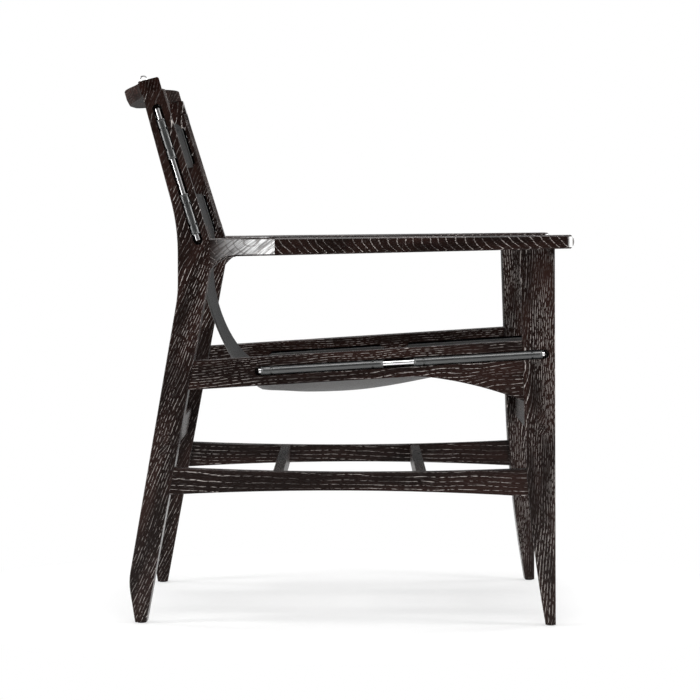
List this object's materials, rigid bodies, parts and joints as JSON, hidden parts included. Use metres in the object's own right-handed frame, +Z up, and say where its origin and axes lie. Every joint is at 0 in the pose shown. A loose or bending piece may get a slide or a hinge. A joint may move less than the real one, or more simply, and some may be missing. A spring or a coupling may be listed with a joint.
{
  "type": "sling leather easy chair",
  "caption": "Low easy chair: splayed dark oak frame with flat arms, and a black leather sheet slung from steel rods as seat and back.",
  "frame": {"origin": "on the floor, under the middle of the chair's bounding box", "axes": "+Z up, the chair faces -Y, +X towards the sitter's left hand"},
  "size_m": [0.7236, 0.742, 0.8837],
  "materials": {
    "limed_oak": "near-black brown stained oak, its open grain filled pale, satin lacquer",
    "black_leather": "thick saddle leather, black with a satin sheen, edges sewn in self colour",
    "polished_steel": "bright polished steel",
    "glide": "black nylon"
  },
  "bodies": {
    "root": {"arm_left": "limed_oak", "arm_right": "limed_oak", "back_rod_left": "polished_steel", "back_rod_right": "polished_steel", "crest_loop_left": "polished_steel", "crest_loop_right": "polished_steel", "crest_rail": "limed_oak", "front_cross_rail": "limed_oak", "front_leg_left": "limed_oak", "front_leg_right": "limed_oak", "glide_front_left": "glide", "glide_front_right": "glide", "glide_rear_left": "glide", "glide_rear_right": "glide", "rear_cross_rail": "limed_oak", "rear_post_left": "limed_oak", "rear_post_right": "limed_oak", "seat_rail_left": "limed_oak", "seat_rail_right": "limed_oak", "seat_rod_left": "polished_steel", "seat_rod_right": "polished_steel", "sling": "black_leather", "stretcher_bar_front": "limed_oak", "stretcher_bar_rear": "limed_oak", "stretcher_left": "limed_oak", "stretcher_right": "limed_oak"}
  },
  "joints": []
}
